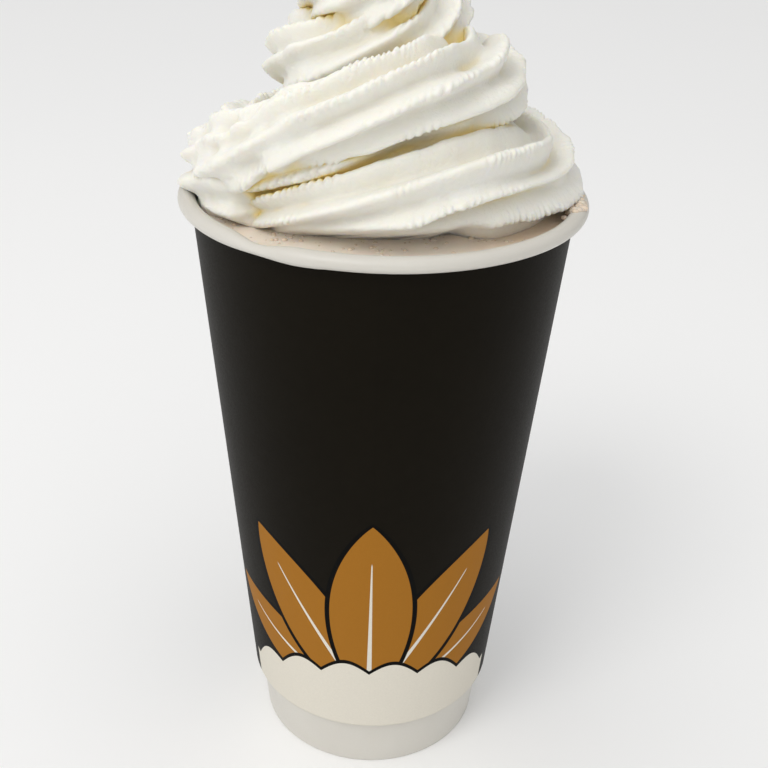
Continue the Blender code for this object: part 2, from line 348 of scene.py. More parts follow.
sleeve = {
    "paper": 0.4 * mm,
    "hem": 1.3 * mm,
    "steps": 320,
    "lapHeading": 97.0,
    "lapStep": 0.28 * mm,
    "lapSpread": 20.0,
    "lapEdge": 0.5,
    "lowRadius": 31.5 * mm,
}
leafPrint = {
    "wrapRadius": 34.5 * mm,
    "rootHeight": 24.0 * mm,
    "leaves": (  # turn in degrees from upright, length and half width, painted back to front
        (-60.0, 50.0 * mm, 8.0 * mm),
        (60.0, 50.0 * mm, 8.0 * mm),
        (-31.0, 57.0 * mm, 9.6 * mm),
        (31.0, 57.0 * mm, 9.6 * mm),
        (0.0, 57.0 * mm, 11.0 * mm),
    ),
    "line": 1.15 * mm,
    "rib": 0.8 * mm,
    "soft": 0.07 * mm,
    "bankTop": 35.0 * mm,
    "bankSag": 140.0 * mm,
    "scallops": 6.5,
    "scallopDepth": 3.4 * mm,
    "bankHalfWidth": 41.0 * mm,
    "ochre": (0.36, 0.150, 0.018, 1),
    "white": (0.74, 0.70, 0.61, 1),
    "black": (0.0022, 0.0020, 0.0016, 1),
}


def warpSleeve(radius, height, heading):
    degrees = math.degrees(heading)
    lap = smoothStep(degrees, sleeve["lapHeading"] - sleeve["lapSpread"], sleeve["lapHeading"])
    lap *= 1 - smoothStep(degrees, sleeve["lapHeading"], sleeve["lapHeading"] + sleeve["lapEdge"])
    above = smoothStep(height, sleeveLow.z + 1.5 * sleeve["hem"], sleeveLow.z + 4 * sleeve["hem"])
    return radius + sleeve["lapStep"] * lap * above, height


def makeSleeve():
    print("dark outer wall")
    topRadius = sleeveHigh.x
    hem, paper = sleeve["hem"], sleeve["paper"]
    hemCentre = (sleeve["lowRadius"] - hem, sleeveLow.z + hem)
    profile = [(topRadius, sleeveHigh.z)]
    hemOuter = arcPoints(hemCentre, (hem, hem), 0, -90, 12)
    profile += linePoints(profile[0], hemOuter[0], 60)
    profile += hemOuter
    profile += arcPoints(hemCentre, (hem - paper, hem - paper), -90, 0, 8)
    profile.append((topRadius - paper, sleeveHigh.z))
    wall = turnedMesh("darkSleeve", profile, sleeve["steps"], True, warpSleeve)
    wall.data.set_sharp_from_angle(angle=math.radians(50))
    finishPiece(wall, "sleeve", darkPaper())


def leafGroup():
    tree = bpy.data.node_groups.new("leafShape", "ShaderNodeTree")
    for name in ("Across", "Up", "Turn", "Length", "Half Width", "Line", "Rib", "Soft"):
        tree.interface.new_socket(name=name, in_out="INPUT", socket_type="NodeSocketFloat")
    for name in ("Blade", "Outline", "Midrib"):
        tree.interface.new_socket(name=name, in_out="OUTPUT", socket_type="NodeSocketFloat")
    given = tree.nodes.new("NodeGroupInput").outputs
    sine = maths(tree, "SINE", given["Turn"])
    cosine = maths(tree, "COSINE", given["Turn"])
    along = plus(tree, times(tree, given["Across"], sine), times(tree, given["Up"], cosine))
    aside = minus(tree, times(tree, given["Across"], cosine), times(tree, given["Up"], sine))
    aside = maths(tree, "ABSOLUTE", aside)
    share = maths(tree, "DIVIDE", along, given["Length"])
    inside = maths(tree, "MAXIMUM", times(tree, share, minus(tree, 1.0, share)), 0.0)
    edge = times(tree, maths(tree, "POWER", times(tree, inside, 4.0), 0.8), given["Half Width"])
    gap = minus(tree, edge, aside)  # how far inside the leaf's edge
    soft = given["Soft"]
    outline = mapRange(tree, gap, times(tree, soft, -1.0), soft)
    blade = mapRange(tree, gap, given["Line"], plus(tree, given["Line"], soft))
    ribWidth = times(tree, given["Rib"], minus(tree, 1.0, share))
    rib = mapRange(tree, minus(tree, ribWidth, aside), 0.0, soft)
    rib = times(tree, rib, mapRange(tree, share, 0.80, 0.78))
    out = tree.nodes.new("NodeGroupOutput")
    for name, socket in (("Blade", blade), ("Outline", outline), ("Midrib", rib)):
        tree.links.new(socket, out.inputs[name])
    return tree


def darkPaper():
    material, tree, shader, place = newMaterial("darkPaper")
    axes = addNode(tree, "ShaderNodeSeparateXYZ", {0: place}).outputs
    heading = maths(tree, "ARCTAN2", axes[0], times(tree, axes[1], -1.0))
    across = times(tree, heading, leafPrint["wrapRadius"])
    up = minus(tree, axes[2], leafPrint["rootHeight"])
    soft = leafPrint["soft"]

    fibres = noiseAt(tree, place, 0.45 * mm, 3.0, 0.6)
    cloudy = noiseAt(tree, place, 22 * mm, 3.0)
    mottle = noiseAt(tree, place, 2.6 * mm, 3.0, 0.6)
    colour = mixColour(tree, cloudy, (0.0042, 0.0030, 0.0012, 1), (0.0072, 0.0054, 0.0026, 1))
    colour = mixColour(tree, times(tree, mottle, 0.3), colour, (0.012, 0.0095, 0.0055, 1))

    # five leaves, painted one over the other
    shape = leafGroup()
    printed = 0.0
    for turn, length, halfWidth in leafPrint["leaves"]:
        leaf = addNode(tree, "ShaderNodeGroup", node_tree=shape)
        for name, value in (("Across", across), ("Up", up)):
            tree.links.new(value, leaf.inputs[name])
        for name, value in (("Turn", math.radians(turn)), ("Length", length), ("Half Width", halfWidth),
                            ("Line", leafPrint["line"]), ("Rib", leafPrint["rib"]), ("Soft", soft)):
            leaf.inputs[name].default_value = value
        colour = mixColour(tree, leaf.outputs["Outline"], colour, leafPrint["black"])
        colour = mixColour(tree, leaf.outputs["Blade"], colour, leafPrint["ochre"])
        colour = mixColour(tree, leaf.outputs["Midrib"], colour, leafPrint["white"])
        printed = maths(tree, "MAXIMUM", printed, leaf.outputs["Blade"])

    # a low scalloped bank below them, white down to the hem
    sag = maths(tree, "DIVIDE", times(tree, across, across), leafPrint["bankSag"])
    pace = leafPrint["scallops"] * math.pi / (2 * leafPrint["bankHalfWidth"])
    wave = maths(tree, "ABSOLUTE", maths(tree, "SINE", times(tree, across, pace)))
    bankTop = minus(tree, leafPrint["bankTop"], sag)
    bankTop = plus(tree, bankTop, times(tree, wave, leafPrint["scallopDepth"]))
    below = minus(tree, bankTop, axes[2])
    side = minus(tree, leafPrint["bankHalfWidth"], maths(tree, "ABSOLUTE", across))
    below = maths(tree, "MINIMUM", below, side)
    bankLine = mapRange(tree, below, -soft, soft)
    bank = mapRange(tree, below, leafPrint["line"], leafPrint["line"] + soft)
    colour = mixColour(tree, bankLine, colour, leafPrint["black"])
    colour = mixColour(tree, bank, colour, leafPrint["white"])
    printed = maths(tree, "MAXIMUM", printed, bank)

    grain = times(tree, minus(tree, 1.0, fibres), 0.12)
    colour = mixColour(tree, grain, colour, (0.0, 0.0, 0.0, 1))
    rough = plus(tree, mapRange(tree, fibres, 0.3, 0.7, 0.44, 0.52), times(tree, printed, 0.05))
    bump = bumpFrom(tree, fibres, 0.02 * mm, 0.5)
    bump = bumpFrom(tree, mottle, 0.06 * mm, 0.4, bump)
    bump = bumpFrom(tree, cloudy, 0.4 * mm, 0.25, bump)
    setShader(tree, shader, colour=colour, roughness=rough, bump=bump, specular=0.05)
    return material


# The drink: milky chocolate, with a meniscus where it meets the wall

drink = {
    "steps": 256,
    "rings": 46,
    "intoWall": 0.2 * mm,
    "meniscus": 0.7 * mm,
    "meniscusReach": 1.3 * mm,
    "swell": 0.25 * mm,
    "swellSize": 6 * mm,
}


def makeDrink():
    print("drink")
    level = drinkHigh.z
    low = drinkLow.z
    edge = wallInner(level) + drink["intoWall"]
    profile = []
    for ring in range(drink["rings"] + 1):
        radius = edge * (ring / drink["rings"]) ** 0.7
        lift = drink["meniscus"] * math.exp(-(edge - radius) / drink["meniscusReach"])
        profile.append((radius, level + lift))
    lowEdge = wallInner(low) + drink["intoWall"]
    profile += linePoints(profile[-1], (lowEdge, low), 20)
    profile += [(lowEdge, low), (0.0, low)]

    def swell(radius, height, heading):
        share = smoothStep(height, level - 1 * mm, level) * (1 - smoothStep(radius, edge - 3 * mm, edge))
        place = Vector((math.cos(heading), math.sin(heading), 0)) * radius / drink["swellSize"]
        return radius, height + drink["swell"] * noise.noise(place) * share

    body = turnedMesh("drinkBody", profile, drink["steps"], False, swell)
    finishPiece(body, "drink", milkyChocolate())


def milkyChocolate():
    material, tree, shader, place = newMaterial("milkyChocolate")
    axes = addNode(tree, "ShaderNodeSeparateXYZ", {0: place}).outputs
    streaks = noiseAt(tree, place, 7 * mm, 3.0, 0.55, 0.6)
    fine = noiseAt(tree, place, 1.2 * mm, 3.0, 0.6)
    # browner towards the right: partly the drink's own colour, paler at the left where cream is mixed in, and
    # partly painted shade on the right side
    brown = mapRange(tree, plus(tree, axes[0], times(tree, streaks, 14 * mm)), 18 * mm, 38 * mm)
    colour = mixColour(tree, streaks, (0.86, 0.76, 0.66, 1), (0.91, 0.84, 0.75, 1))
    colour = mixColour(tree, brown, colour, (0.74, 0.60, 0.46, 1))
    colour = mixColour(tree, mapRange(tree, fine, 0.55, 0.75, 0.0, 0.35), colour, (0.86, 0.78, 0.68, 1))
    bump = bumpFrom(tree, fine, 0.12 * mm, 0.4)
    setShader(tree, shader, colour=colour, roughness=0.28, bump=bump, scatter=0.4,
              scatterRadius=(1.0, 0.6, 0.35), scatterScale=1.5 * mm)
    return material


# The cream: fluted ropes laid in a rising, tilted coil, with the peak where the nozzle was pulled away

cream = {
    "flutes": 8,
    "fluteStart": 23.0,
    "fullRadius": 10.0 * mm,
    "grooveDepth": 3.6 * mm,
    "crestSharpness": 1.35,
    "peakBase": 182.0 * mm,
    "peakTwist": 150.0,
    "peakLean": 2.2 * mm,
    "peakShift": -1.8 * mm,
    "innerShare": 0.8,
    "lengthTurns": 0.7,
    "roundEnd": 7.0 * mm,
    "stationGap": 0.36 * mm,
    "pointsAround": 112,
    "peakStations": 110,
    "coreDepth": 3.0 * mm,
    "wallGap": 0.4 * mm,
    "rimGap": 0.3 * mm,
    "footSink": 0.5 * mm,
    "footHeight": 12.0 * mm,
    "footSlope": 1.9,
    "footSoft": 0.5 * mm,
    "toothLength": 1.35 * mm,
    "toothHeight": 0.85 * mm,
    "rippleHeight": 0.30 * mm,
    "sagHeight": 0.9 * mm,
    "rumpleHeight": 6.0 * mm,
    "pinchAngle": -89.5,
    "channelAngle": -134.5,
    "hollowReach": 9.0 * mm,
    "hollowRays": 14,
}
# Along each rope, by turns from the left side: millimetres, but degrees in "star" and shares in "rumple"
mainRope = {
    "start": 0.09,
    "end": 3.38,
    "reach": ((0.1, 28), (0.4, 31), (0.55, 33.6), (0.85, 33.5), (1, 34.5), (1.1, 33), (1.2, 30.5),
              (1.35, 22.5), (1.5, 19.8), (1.75, 20.5), (2, 15.5), (2.3, 9.5), (2.6, 8), (3, 10.5),
              (3.25, 9.5), (3.38, 7)),
    "radius": ((0.1, 7.4), (0.25, 10), (0.4, 11.6), (0.5, 11.4), (0.75, 10), (1, 9), (1.2, 9), (1.5, 10.1),
               (2, 10.4), (2.5, 9.2), (3, 9), (3.38, 9)),
    "height": ((0.1, 2.5), (0.2, 7), (0.35, 10.6), (0.5, 7.4), (0.75, 8.5), (0.9, 8.5), (1, 8.5), (1.1, 15),
               (1.2, 25), (1.3, 29.8), (1.5, 25.2), (1.75, 24.5), (2, 29.5), (2.3, 34.5), (2.5, 39),
               (2.8, 42.5), (3, 44.5), (3.25, 45.5), (3.38, 48)),
    "star": ((0.1, 4), (0.3, -2), (0.5, -39), (0.62, -43), (0.85, -5), (1, 12), (1.1, 20), (1.3, 14),
             (1.5, 18), (2.5, -3), (3.4, -3)),
    "rumple": ((0.1, 0), (0.8, 0), (0.95, 1), (1.12, 1), (1.25, 0), (1.9, 0), (2.1, 0.6), (3.4, 0.6)),
    "pinch": ((0.1, 0), (0.32, 0), (0.4, -2), (0.48, -3.2), (0.58, -1), (0.65, 0), (1.3, 0), (1.36, -1),
              (1.42, 2.2), (1.48, 1), (1.52, -2.2), (1.6, 0), (3.4, 0)),
    "channel": ((0.1, 0), (0.26, 0), (0.31, -3.2), (0.4, -3.2), (0.46, -1), (0.5, 0), (3.4, 0)),
}
firstRope = {
    "start": -0.42,
    "end": 0.115,
    "reach": ((-0.42, 30), (-0.2, 33), (0.115, 30.5)),
    "radius": ((-0.42, 8), (-0.2, 11), (0, 13), (0.115, 11.5)),
    "height": ((-0.42, 2), (-0.2, 4), (0, 4), (0.115, 4)),
    "star": ((-0.42, 0), (0.115, 20)),
    "rumple": ((-0.42, 0.6), (-0.1, 1), (0.115, 1)),
    "pinch": ((0, 0),),
    "channel": ((0, 0),),
}
fillRope = {
    "start": 0.06,
    "end": 0.52,
    "reach": ((0.06, 28), (0.14, 27.3), (0.2, 26.5), (0.255, 23), (0.29, 22), (0.35, 24), (0.41, 21),
              (0.52, 23)),
    "radius": ((0.06, 7.5), (0.12, 8.8), (0.2, 8.4), (0.27, 6), (0.35, 7.2), (0.52, 5)),
    "height": ((0.06, 10), (0.18, 14.5), (0.3, 18), (0.52, 16)),
    "star": ((0, 0),),
    "rumple": ((0, 0.3),),
    "pinch": ((0, 0),),
    "channel": ((0, 0),),
}
# Radii in millimetres: against the share of the peak, the heading at the foot and the height above the drink
peakRadius = ((0, 9), (0.3, 10), (0.5, 8.6), (0.7, 5.8), (0.85, 3.4), (1, 0.9))
footRadius = ((170, 43.8), (194, 43.6), (207, 36.9), (220, 33.9), (233, 30.7), (244, 28.1), (261, 26.6),
              (278, 26), (290, 26), (300, 25.5), (308, 30), (316, 34.5), (329, 40), (340, 43), (375, 44))
coreRadius = ((0, 24), (7, 25), (14, 22), (22, 16), (30, 12), (40, 10), (50, 7))


def ropeStation(rope, turn):
    heading = math.pi + math.tau * turn
    outward = Vector((math.cos(heading), math.sin(heading), 0))
    reach = smoothValue(rope["reach"], turn) * mm
    centre = outward * reach + Vector((0, 0, drinkHigh.z + smoothValue(rope["height"], turn) * mm))
    twist = math.tau * turn + math.radians(smoothValue(rope["star"], turn))
    return {
        "turn": turn,
        "centre": centre,
        "sideAxis": outward,
        "upAxis": Vector((0, 0, 1)),
        "twist": twist,
        "ropeRadius": smoothValue(rope["radius"], turn) * mm,
        "innerLimit": -cream["innerShare"] * reach,
        "rumple": smoothValue(rope["rumple"], turn),
        "pinch": smoothValue(rope["pinch"], turn) * mm,
        "channel": smoothValue(rope["channel"], turn) * mm,
    }


def peakStation(share):
    lean = cream["peakLean"] * share**3
    height = cream["peakBase"] + (creamHigh.z - cream["peakBase"]) * share
    centre = Vector((lean + cream["peakShift"], -lean, height))
    return {
        "centre": centre,
        "sideAxis": Vector((1, 0, 0)),
        "upAxis": Vector((0, 1, 0)),
        "twist": math.radians(cream["peakTwist"]) * share,
        "ropeRadius": smoothValue(peakRadius, share) * mm,
        "innerLimit": -1.0,
        "rumple": 0.5,
        "pinch": 0.0,
        "channel": 0.0,
        "along": centre.z - cream["peakBase"],
    }


def stationLine(name, stations):
    # a line of joined points that carries each station's facts as attributes
    mesh = bpy.data.meshes.new(name)
    points = [station["centre"] for station in stations]
    mesh.from_pydata(points, [(index, index + 1) for index in range(len(points) - 1)], [])
    for key in ("sideAxis", "upAxis"):
        values = np.array([station[key] for station in stations], dtype=np.float32).ravel()
        mesh.attributes.new(key, "FLOAT_VECTOR", "POINT").data.foreach_set("vector", values)
    for key in ("twist", "ropeRadius", "innerLimit", "along", "rumple", "pinch", "channel"):
        values = np.array([station[key] for station in stations], dtype=np.float32)
        mesh.attributes.new(key, "FLOAT", "POINT").data.foreach_set("value", values)
    return addObject(name, mesh)


def evenStations(rope):
    # stations a steady distance apart along the rope's centre line
    samples = 4000
    span = rope["end"] - rope["start"]
    turns = [rope["start"] + span * index / samples for index in range(samples + 1)]
    centres = [ropeStation(rope, turn)["centre"] for turn in turns]
    lengths = [0.0]
    for before, after in zip(centres, centres[1:]):
        lengths.append(lengths[-1] + (after - before).length)
    count = round(lengths[-1] / cream["stationGap"])
    stations = []
    for index in range(count + 1):
        along = lengths[-1] * index / count
        station = ropeStation(rope, float(np.interp(along, lengths, turns)))
        station["along"] = along
        stations.append(station)
    return stations


def namedValue(tree, name, kind="FLOAT"):
    named = addNode(tree, "GeometryNodeInputNamedAttribute", {"Name": name}, data_type=kind)
    return named.outputs["Attribute"]


def storeValue(tree, geometry, name, value, kind="FLOAT"):
    sockets = {"Geometry": geometry, "Name": name, "Value": value}
    return addNode(tree, "GeometryNodeStoreNamedAttribute", sockets, data_type=kind).outputs["Geometry"]


def pipedRopeTree():
    tree = bpy.data.node_groups.new("pipedRope", "GeometryNodeTree")
    tree.interface.new_socket(name="Line", in_out="INPUT", socket_type="NodeSocketGeometry")
    names = ("Flutes", "Flute Start", "Groove Depth", "Crest Sharpness", "Full Radius", "Tooth Length",
             "Tooth Height", "Ripple Height", "Sag Height", "Rumple Height", "Pinch Angle", "Channel Angle")
    for name in names:
        tree.interface.new_socket(name=name, in_out="INPUT", socket_type="NodeSocketFloat")
    tree.interface.new_socket(name="Points Around", in_out="INPUT", socket_type="NodeSocketInt")
    tree.interface.new_socket(name="Finish", in_out="INPUT", socket_type="NodeSocketMaterial")
    tree.interface.new_socket(name="Rope", in_out="OUTPUT", socket_type="NodeSocketGeometry")
    given = tree.nodes.new("NodeGroupInput").outputs
    here = addNode(tree, "GeometryNodeInputPosition").outputs[0]

    line = storeValue(tree, given["Line"], "centre", here, "FLOAT_VECTOR")
    line = addNode(tree, "GeometryNodeMeshToCurve", {"Mesh": line}).outputs[0]
    ring = addNode(tree, "GeometryNodeCurvePrimitiveCircle",
                   {"Resolution": given["Points Around"], "Radius": 1 * mm}).outputs[0]
    index = addNode(tree, "GeometryNodeInputIndex").outputs[0]
    step = maths(tree, "DIVIDE", math.tau, given["Points Around"])
    ring = storeValue(tree, ring, "phase", times(tree, index, step))
    sweep = addNode(tree, "GeometryNodeCurveToMesh",
                    {"Curve": line, "Profile Curve": ring, "Fill Caps": True}).outputs[0]

    # the star: eight crests, a little uneven round the rope
    phase = namedValue(tree, "phase")
    twoWave = maths(tree, "SINE", plus(tree, times(tree, phase, 2.0), 1.0))
    threeWave = maths(tree, "SINE", times(tree, phase, 3.0))
    uneven = plus(tree, phase, times(tree, twoWave, 0.05))
    uneven = plus(tree, uneven, times(tree, threeWave, 0.03))
    uneven = minus(tree, uneven, given["Flute Start"])
    star = maths(tree, "COSINE", times(tree, given["Flutes"], uneven))
    crest = times(tree, plus(tree, star, 1.0), 0.5)
    crest = maths(tree, "POWER", crest, given["Crest Sharpness"])
    sweep = storeValue(tree, sweep, "crest", crest)
    crest = namedValue(tree, "crest")

    radius = namedValue(tree, "ropeRadius")
    fullness = maths(tree, "DIVIDE", radius, given["Full Radius"])
    groove = times(tree, given["Groove Depth"], fullness)
    calm = minus(tree, 1.0, times(tree, namedValue(tree, "rumple"), 0.4))
    groove = times(tree, groove, calm)
    inward = times(tree, groove, minus(tree, 1.0, crest))
    reach = minus(tree, radius, inward)
    for name in ("Pinch", "Channel"):
        fromFace = maths(tree, "COSINE", minus(tree, phase, given[name + " Angle"]))
        fromFace = mapRange(tree, fromFace, 0.72, 1.0)
        reach = plus(tree, reach, times(tree, fromFace, namedValue(tree, name.lower())))
    angle = plus(tree, phase, namedValue(tree, "twist"))
    across = times(tree, reach, maths(tree, "COSINE", angle))
    across = maths(tree, "MAXIMUM", across, namedValue(tree, "innerLimit"))
    rise = times(tree, reach, maths(tree, "SINE", angle))
    place = centre = namedValue(tree, "centre", "FLOAT_VECTOR")
    for name, distance in (("sideAxis", across), ("upAxis", rise)):
        axis = namedValue(tree, name, "FLOAT_VECTOR")
        place = vectorMaths(tree, "ADD", place, scaleVector(tree, axis, distance))
    sweep = addNode(tree, "GeometryNodeSetPosition", {"Geometry": sweep, "Position": place}).outputs[0]

    # relief: the fine teeth that cream tears into along its crests, soft ripples and a slow sag
    away = vectorMaths(tree, "NORMALIZE", vectorMaths(tree, "SUBTRACT", here, centre))
    along = namedValue(tree, "along")
    jitter = noiseAt(tree, here, 5 * mm, 1.0)
    slant = times(tree, star, 0.35)
    waveTurns = maths(tree, "DIVIDE", along, given["Tooth Length"])
    waveTurns = plus(tree, waveTurns, plus(tree, times(tree, jitter, 2.6), slant))
    teeth = maths(tree, "ABSOLUTE", maths(tree, "SINE", times(tree, waveTurns, math.pi)))
    teeth = minus(tree, teeth, 0.6)
    patch = mapRange(tree, noiseAt(tree, here, 12 * mm, 2.0), 0.42, 0.58, 0.05, 1.0)
    onCrest = times(tree, mapRange(tree, crest, 0.25, 0.95), patch)
    teeth = times(tree, times(tree, teeth, onCrest), given["Tooth Height"])
    ripple = minus(tree, noiseAt(tree, here, 2.4 * mm, 2.0, 0.55), 0.5)
    ripple = times(tree, ripple, times(tree, given["Ripple Height"], 2.0))
    sag = minus(tree, noiseAt(tree, here, 9 * mm, 1.0), 0.5)
    sag = times(tree, sag, times(tree, given["Sag Height"], 2.0))
    rumple = minus(tree, noiseAt(tree, here, 8 * mm, 1.5, 0.4), 0.5)
    rumple = times(tree, rumple, times(tree, namedValue(tree, "rumple"), given["Rumple Height"]))
    relief = plus(tree, plus(tree, teeth, ripple), plus(tree, sag, rumple))
    full = mapRange(tree, radius, 0.0, 4 * mm)
    relief = scaleVector(tree, away, times(tree, relief, full))
    sweep = addNode(tree, "GeometryNodeSetPosition", {"Geometry": sweep, "Offset": relief}).outputs[0]

    sweep = addNode(tree, "GeometryNodeRealizeInstances", {"Geometry": sweep}).outputs[0]
    sweep = addNode(tree, "GeometryNodeSetMaterial",
                    {"Geometry": sweep, "Material": given["Finish"]}).outputs[0]
    out = tree.nodes.new("NodeGroupOutput")
    tree.links.new(sweep, out.inputs["Rope"])
    return tree


def setInputs(modifier, **values):
    byName = {item.name: item.identifier for item in modifier.node_group.interface.items_tree
              if item.item_type == "SOCKET" and item.in_out == "INPUT"}
    for name, value in values.items():
        modifier[byName[name.replace("_", " ")]] = value


def evaluatedMesh(thing):
    bpy.context.view_layer.update()
    return bpy.data.meshes.new_from_object(thing.evaluated_get(bpy.context.evaluated_depsgraph_get()))


def pipeLength(line, tree, material):
    modifier = line.modifiers.new("pipe", "NODES")
    modifier.node_group = tree
    setInputs(modifier, Flutes=float(cream["flutes"]), Flute_Start=math.radians(cream["fluteStart"]),
              Groove_Depth=cream["grooveDepth"], Crest_Sharpness=cream["crestSharpness"],
              Full_Radius=cream["fullRadius"], Tooth_Length=cream["toothLength"],
              Tooth_Height=cream["toothHeight"], Ripple_Height=cream["rippleHeight"],
              Sag_Height=cream["sagHeight"], Rumple_Height=cream["rumpleHeight"],
              Pinch_Angle=math.radians(cream["pinchAngle"]),
              Channel_Angle=math.radians(cream["channelAngle"]), Points_Around=cream["pointsAround"],
              Finish=material)
    mesh = evaluatedMesh(line)
    line.modifiers.remove(modifier)
    body = bmesh.new()
    body.from_mesh(mesh)
    bmesh.ops.triangulate(body, faces=[face for face in body.faces if len(face.verts) > 4])
    facesOut(body)
    body.to_mesh(mesh)
    body.free()
    length = bpy.data.objects.new(line.name + "Piped", mesh)
    bpy.data.objects.remove(line, do_unlink=True)
    return length


def ropeLengths(rope, tree, material):
    # less than a turn each, so that no length crosses itself; each ends just inside the next
    stations = evenStations(rope)
    last = len(stations) - 1
    roundEnd = round(cream["roundEnd"] / cream["stationGap"])
    for index, station in enumerate(stations):
        share = min(index / roundEnd, (last - index) / roundEnd, 1)
        station["ropeRadius"] *= max(math.sqrt(1 - (1 - share) ** 2), 0.05)
    lengths, start = [], 0
    while start < last:
        endTurn = stations[start]["turn"] + cream["lengthTurns"]
        end = start
        while end < last and stations[end]["turn"] < endTurn:
            end += 1
        if last - end < roundEnd:
            end = last
        part = [dict(station) for station in stations[start:end + 1]]
        if end < last:
            part.append(dict(stations[end + 1]))
            for station, thinner in ((part[-1], 0.990), (part[-2], 0.995)):
                station["ropeRadius"] *= thinner
        if start > 0:
            part[0]["ropeRadius"] *= 0.985
        lengths.append(pipeLength(stationLine(f"rope{len(lengths)}", part), tree, material))
        start = end
    return lengths


def makePeak(tree, material):
    count = cream["peakStations"]
    stations = [peakStation(index / count) for index in range(count + 1)]
    return pipeLength(stationLine("peak", stations), tree, material)


def keepOuterShell(mesh):
    # the largest joined part stays, and closed-off hollows inside it go
    body = bmesh.new()
    body.from_mesh(mesh)
    unseen = set(body.verts)
    shells = []
    while unseen:
        shell = [unseen.pop()]
        for vert in shell:
            for edge in vert.link_edges:
                other = edge.other_vert(vert)
                if other in unseen:
                    unseen.remove(other)
                    shell.append(other)
        shells.append(shell)
    shells.sort(key=len)
    for shell in shells[:-1]:
        bmesh.ops.delete(body, geom=shell, context="VERTS")
    body.to_mesh(mesh)
    body.free()


def joinCream(parts, material):
    level = drinkHigh.z
    profile = [(0.0, level + coreRadius[-1][0] * mm)]
    profile += [(radius * mm, level + height * mm) for height, radius in reversed(coreRadius)]
    under = level - cream["coreDepth"]
    profile += [(coreRadius[0][1] * mm, under), (0.0, under)]
    core = turnedMesh("creamCore", profile, 96, False)
    foot = level - cream["footSink"]
    collar = wallInner(level) - cream["wallGap"]
    overRim = cupHeight + cream["rimGap"]
    outside, under = rimRadius + 15 * mm, foot - 15 * mm
    keepOut = turnedMesh("creamLimit", [
        (0.0, foot), (collar, foot), (collar + 0.1 * mm, overRim - 0.5 * mm), (collar + 0.6 * mm, overRim),
        (outside, overRim), (outside, under), (0.0, under),
    ], 192, False)
    lengths = bpy.data.collections.new("ropeLengths")
    bpy.context.scene.collection.children.link(lengths)
    for part in parts:
        lengths.objects.link(part)
    join = core.modifiers.new("join", "BOOLEAN")
    join.operation = "UNION"
    join.solver = "MANIFOLD"
    join.operand_type = "COLLECTION"
    join.collection = lengths
    cut = core.modifiers.new("cut", "BOOLEAN")
    cut.operation = "DIFFERENCE"
    cut.solver = "MANIFOLD"
    cut.object = keepOut
    mesh = evaluatedMesh(core)
    for thing in list(lengths.objects) + [core, keepOut]:
        bpy.data.objects.remove(thing, do_unlink=True)
    bpy.data.collections.remove(lengths)
    keepOuterShell(mesh)
    mesh.name = "pipedCream"
    mesh.materials.clear()
    mesh.materials.append(material)
    for face in mesh.polygons:
        face.material_index = 0
    mesh.shade_smooth()
    pullInFoot(mesh)
    return addObject("pipedCream", mesh)


def pullInFoot(mesh):
    # the cream's foot stands back from the wall in front
    level = drinkHigh.z
    for vert in mesh.vertices:
        above = vert.co.z - level
        radius = math.hypot(vert.co.x, vert.co.y)
        heading = math.degrees(math.atan2(vert.co.y, vert.co.x)) % 360
        if heading < footRadius[-1][0] - 360:
            heading += 360
        if above > cream["footHeight"] or heading < footRadius[0][0] or radius < 1 * mm:
            continue
        limit = smoothValue(footRadius, heading) * mm + max(above, 0) * cream["footSlope"]
        soft = cream["footSoft"]
        over = soft * math.log1p(math.exp((radius - limit) / soft))
        fade = 1 - smoothStep(above, 0.55 * cream["footHeight"], cream["footHeight"])
        scale = (radius - over * fade) / radius
        vert.co.x *= scale
        vert.co.y *= scale


def smoothOverMesh(mesh, values, rounds):
    edges = np.empty(len(mesh.edges) * 2, dtype=np.int32)
    mesh.edges.foreach_get("vertices", edges)
    first, second = edges[0::2], edges[1::2]
    count = np.bincount(edges, minlength=len(mesh.vertices)).clip(min=1)
    for _ in range(rounds):
        total = np.bincount(first, values[second], len(values))
        total += np.bincount(second, values[first], len(values))
        values = 0.5 * values + 0.5 * total / count
    return values


def measureHollows(piece, reach, rays):
    # how closed in each point is, from rays cast over its own half of the sky: 0 open, 1 deep in a fold
    mesh = piece.data
    places = [vert.co for vert in mesh.vertices]
    tree = BVHTree.FromPolygons(places, [face.vertices for face in mesh.polygons])
    spread = []
    for index in range(rays):
        height = (index + 0.5) / rays
        turn = index * math.pi * (3 - math.sqrt(5))
        flat = math.sqrt(1 - height * height)
        spread.append(Vector((flat * math.cos(turn), flat * math.sin(turn), height)))
    closed = np.zeros(len(mesh.vertices))
    upright = Vector((0, 0, 1))
    for index, vert in enumerate(mesh.vertices):
        normal = vert.normal
        turned = upright.rotation_difference(normal).to_matrix()
        start = vert.co + normal * 0.15 * mm
        total = 0.0
        for direction in spread:
            hit, _, _, distance = tree.ray_cast(start, turned @ direction, reach)
            if hit:
                total += 1 - distance / reach
        closed[index] = total / rays
    closed = smoothOverMesh(mesh, closed, 6)
    # the cream's colour is darkened and yellowed by this value: painted shade and a painted bounce-light glow
    # in the folds
    mesh.attributes.new("hollow", "FLOAT", "POINT").data.foreach_set("value", closed.astype(np.float32))


